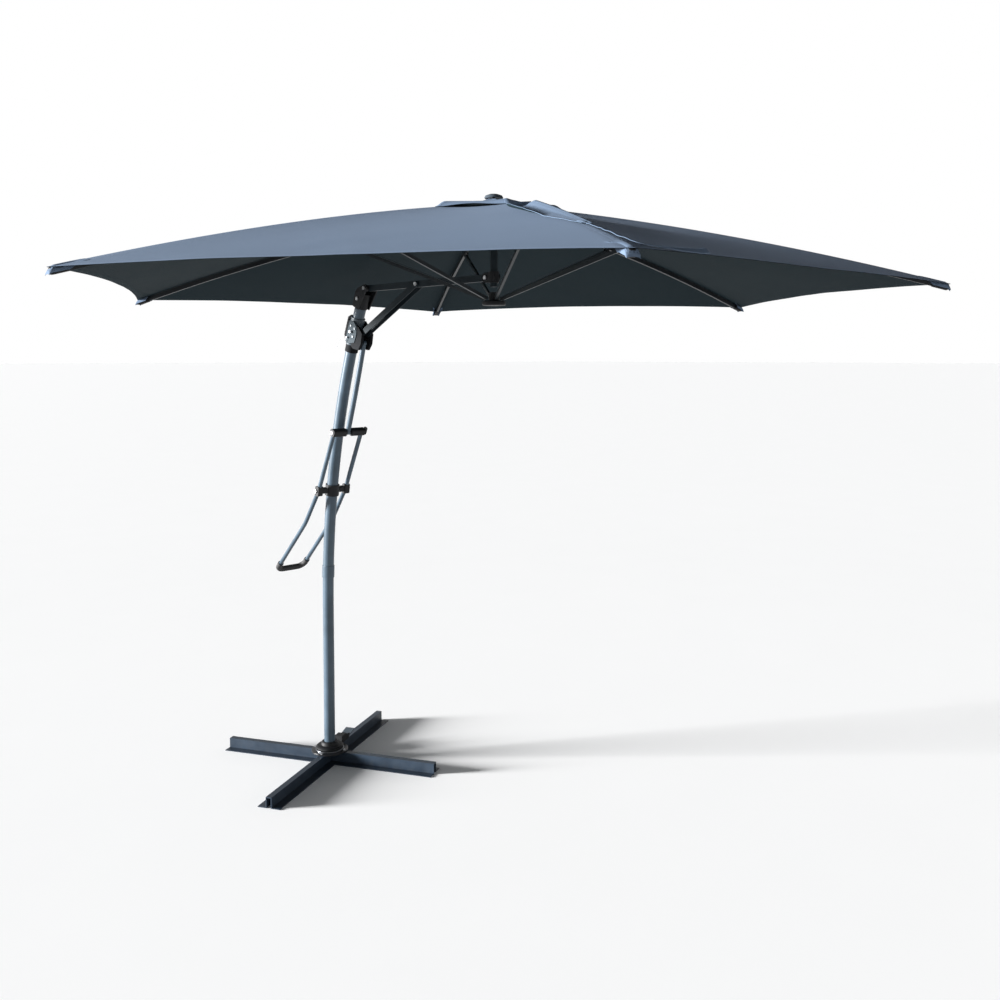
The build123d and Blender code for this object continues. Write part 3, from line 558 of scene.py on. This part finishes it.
for number, turn in enumerate(rib_turns, start=1):
    d = outward(turn)
    across = Vector((-d.y, d.x, 0))
    sheet = grid(range(pocket_steps + 1), range(-pocket_columns, pocket_columns + 1), pocket_at)
    pocket = cloth_piece(f"corner_pocket_{number}", sheet, f"rib_{number}", under=top_cloth, thick=0.0006)
    round(area_of(sheet), 5)
    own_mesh(pocket)

# Closing band on the rib nearest the front: a loose doubled strap of the cloth, its lip curled up off
# the panel and its inner edge sewn along the seam.
d = outward(rib_turns[5])
across = Vector((-d.y, d.x, 0))
band_steps, band_columns = 60, 24


def band_at(j, k):
    """A point of the band: a low wall along the seam, a hollow, then the lip."""
    share, q = j / band_steps, k / band_columns
    r = 0.52 + 0.64 * share
    spread = (1 - (1 - min(share / 0.14, 1)) ** 2) ** 0.5 * (1 - 0.72 * max((share - 0.35) / 0.65, 0) ** 1.2)
    wall = 0.004 + 0.016 * (1 - share) ** 1.3 * min(share / 0.10, 1) ** 0.5
    lip = 0.004 + 0.019 * sin(pi * min(share / 0.75 + 0.12, 1)) ** 0.8 * (1 - share) ** 0.4
    t = 0.012 - 0.104 * spread * q + 0.010 * spread * max(q - 0.85, 0) / 0.15
    spot = Vector((hub_x, 0, 0)) + d * r + across * t
    rise = wall * max(1 - q / 0.30, 0) ** 1.4 + lip * max((q - 0.55) / 0.45, 0) ** 1.3
    spot.z = roof(spot.x, spot.y) + 0.003 + rise + 0.0022 * noise.noise(spot * 17) * q
    return spot, (t, r), 0.124 * spread * min(q, 1 - q) + 0.012, 0.05


sheet = grid(range(band_steps + 1), range(band_columns + 1), band_at)
flap = cloth_piece("closing_flap", sheet, "rib_6", thick=0.0016, rim=True)
round(area_of(sheet), 5)
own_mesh(flap)

# Closing tape: a strip of the cloth from the end of the band to the corner and on past it, its tail
# lifting off the panel.
half_tape = 0.0065
tape_path = [(1.10, -0.004), (1.17, 0.004), (1.21, 0.010), (1.26, 0.014), (1.36, 0.022), (1.41, 0.045),
             (1.42, 0.085), (1.415, 0.13), (1.40, 0.18), (1.385, 0.215)]
tape_steps = 90


def tape_at(j, k):
    """A point of the tape: its path is given as distances out along the rib and to the side of it."""
    place = j / tape_steps * (len(tape_path) - 1)
    n = min(int(place), len(tape_path) - 2)
    f = place - n
    r = tape_path[n][0] * (1 - f) + tape_path[n + 1][0] * f
    t = tape_path[n][1] * (1 - f) + tape_path[n + 1][1] * f
    ahead = Vector((tape_path[n + 1][0] - tape_path[n][0], tape_path[n + 1][1] - tape_path[n][1]))
    ahead.normalize()
    w = k / 3 * half_tape
    spot = Vector((hub_x, 0, 0)) + d * (r - ahead.y * w) + across * (t + ahead.x * w)
    lift = 0.009 * max(j / tape_steps - 0.62, 0) / 0.38
    curl = 0.0044 * abs(noise.noise(Vector((j * 0.13, 0, 3))))
    spot.z = roof(spot.x, spot.y) + 0.0035 + curl + lift * (1 + 0.5 * k / 3)
    return spot, (w, j * 0.009), 0.03, 0.05


sheet = grid(range(tape_steps + 1), range(-3, 4), tape_at)
tape = cloth_piece("closing_tape", sheet, "rib_6", thick=0.0014, rim=True)
round(area_of(sheet) / 0.013, 3)
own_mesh(tape)

# Stage: a plain pale floor, a room that is bright low down and dim overhead, and a low soft key light
# from the left.
floor_mesh = bpy.data.meshes.new("floor")
floor_half, floor_drop = 300, -0.0005
floor_mesh.from_pydata([(x * floor_half, y * floor_half, floor_drop)
                        for x, y in ((-1, -1), (1, -1), (1, 1), (-1, 1))], [], [(0, 1, 2, 3)])
floor = bpy.data.objects.new("floor", floor_mesh)
bpy.context.collection.objects.link(floor)
pale = Finish("pale_floor")
speck = pale.grain(0.5, 3)
floor_mesh.materials.append(pale.surface(
    Base_Color=pale.blend(speck, (0.94, 0.94, 0.94), (0.96, 0.96, 0.96)),
    Roughness=0.9,
    Specular_IOR_Level=0.1,
))

world = bpy.data.worlds.new("studio")
bpy.context.scene.world = world
world.use_nodes = True
room = world.node_tree.nodes
height, ramp = room.new("ShaderNodeSeparateXYZ"), room.new("ShaderNodeValToRGB")
world.node_tree.links.new(room.new("ShaderNodeTexCoord").outputs["Generated"], height.inputs[0])
world.node_tree.links.new(height.outputs["Z"], ramp.inputs[0])
world.node_tree.links.new(ramp.outputs["Color"], room["Background"].inputs["Color"])
ramp.color_ramp.elements[0].position, ramp.color_ramp.elements[0].color = 0.345, (1, 1, 1, 1)
ramp.color_ramp.elements[1].position, ramp.color_ramp.elements[1].color = 0.44, (0.045, 0.05, 0.055, 1)
room["Background"].inputs["Strength"].default_value = 1.0

sun = bpy.data.lights.new("key_light", "SUN")
sun.energy, sun.angle = 17.5, radians(12)
sun_object = bpy.data.objects.new("key_light", sun)
bpy.context.collection.objects.link(sun_object)
turn, rise = radians(234), radians(8.2)
toward = Vector((cos(turn) * cos(rise), sin(turn) * cos(rise), sin(rise)))
sun_object.rotation_mode = "QUATERNION"
sun_object.rotation_quaternion = (-toward).to_track_quat("-Z", "Y")

yaw, pitch = radians(-46.98), radians(-3.0)
right = Vector((cos(yaw), -sin(yaw), 0))
forward = Vector((sin(yaw) * cos(pitch), cos(yaw) * cos(pitch), sin(pitch)))
up = right.cross(forward)
camera_data = bpy.data.cameras.new("camera")
camera_data.sensor_width = 36
camera_data.lens = 0.9978 * 36
camera_data.shift_x, camera_data.shift_y = -0.02584, -0.09033
camera = bpy.data.objects.new("camera", camera_data)
bpy.context.collection.objects.link(camera)
camera.matrix_world = Matrix((
    (right.x, up.x, -forward.x, 3.795),
    (right.y, up.y, -forward.y, -2.3434),
    (right.z, up.z, -forward.z, 1.7946),
    (0, 0, 0, 1),
))
bpy.context.scene.camera = camera
bpy.context.scene.view_settings.view_transform = "Standard"
